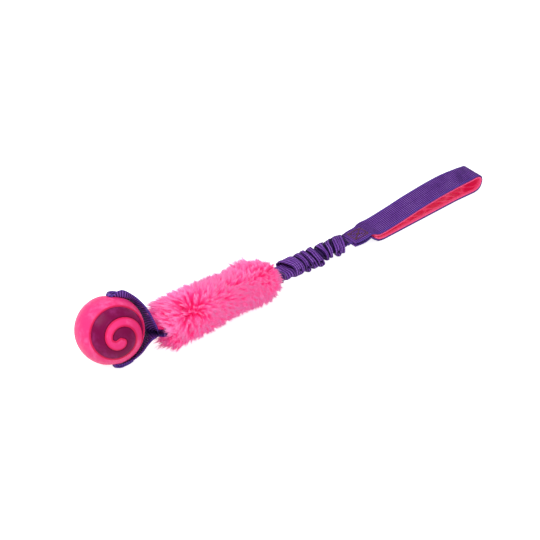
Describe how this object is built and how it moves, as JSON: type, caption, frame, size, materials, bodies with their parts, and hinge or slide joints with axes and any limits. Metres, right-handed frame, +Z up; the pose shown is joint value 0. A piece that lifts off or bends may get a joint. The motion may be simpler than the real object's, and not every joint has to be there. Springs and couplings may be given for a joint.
{
  "type": "bungee ball tug toy",
  "caption": "Dog tug toy: a rubber ball held in a webbing loop, a long-pile sleeve, a ruched bungee and a lined webbing hand loop.",
  "frame": {"origin": "under the centre of the object's box, on the plane it lies on", "axes": "+X from the ball along the toy to the hand loop, +Y to the side where the ball lies, +Z up from the ground"},
  "size_m": [0.5148, 0.0855, 0.0652],
  "materials": {
    "pink_rubber": "satin moulded rubber",
    "purple_rubber": "satin moulded rubber, marbled",
    "purple_webbing": "woven nylon with a fine cross rib",
    "pink_pile": "long soft pile",
    "pink_knit": "knitted backing",
    "pink_lining": "satin-faced lining",
    "pink_thread": "spun thread",
    "dark_thread": "spun thread",
    "purple_thread": "spun thread",
    "latex": "flat latex elastic"
  },
  "bodies": {
    "sleeve": {"fur_pile": "pink_pile", "fur_backing": "pink_knit", "core_webbing": "purple_webbing", "sleeve_stitch_ball_end": "purple_thread", "sleeve_stitch_bungee_end": "purple_thread"},
    "neck": {"neck_tab": "purple_webbing", "neck_bartack": "purple_thread"},
    "ball_loop": {"ball_strap": "purple_webbing"},
    "ball": {"ball_shell": "pink_rubber", "swirl_front": "purple_rubber", "swirl_rear": "purple_rubber"},
    "bungee_near": {"bungee_near_tab": "purple_webbing", "bungee_near_tack": "purple_thread", "bungee_sleeve": "purple_webbing", "bungee_elastic": "latex"},
    "bungee_far": {"bungee_far_tab": "purple_webbing", "bungee_far_tack": "purple_thread"},
    "handle": {"handle_webbing": "purple_webbing", "handle_lining": "pink_lining", "handle_edge_stitch_near": "pink_thread", "handle_edge_stitch_far": "pink_thread", "handle_tongue": "purple_webbing", "handle_box_stitch_top": "dark_thread", "handle_box_stitch_bottom": "dark_thread"}
  },
  "joints": [
    {"name": "neck_swing", "type": "hinge", "parent": "sleeve", "child": "neck", "pos_m": [-0.17865, -0.0165, 0.019], "axis": [0, 0, 1], "range_deg": [-15, 70]},
    {"name": "neck_lift", "type": "hinge", "parent": "neck", "child": "ball_loop", "pos_m": [-0.18295, -0.01189, 0.019], "axis": [0.7314, 0.682, 0], "range_deg": [-30, 50]},
    {"name": "ball_spin", "type": "hinge", "parent": "ball_loop", "child": "ball", "pos_m": [-0.22485, 0.0105, 0.0325], "axis": [0.3265, 0.4768, 0.8161], "continuous": true},
    {"name": "bungee_fold", "type": "hinge", "parent": "sleeve", "child": "bungee_near", "pos_m": [-0.03795, -0.0165, 0.019], "axis": [0, -1, 0], "range_deg": [-60, 60]},
    {"name": "bungee_stretch", "type": "slide", "parent": "bungee_near", "child": "bungee_far", "axis": [0.9986, 0, -0.0525], "range_m": [0, 0.07], "stiffness_N_per_m": 900, "deforming": ["bungee_sleeve", "bungee_elastic"]},
    {"name": "handle_fold", "type": "hinge", "parent": "bungee_far", "child": "handle", "pos_m": [0.06091, -0.0165, 0.0138], "axis": [0, -1, 0], "range_deg": [-60, 75]}
  ]
}
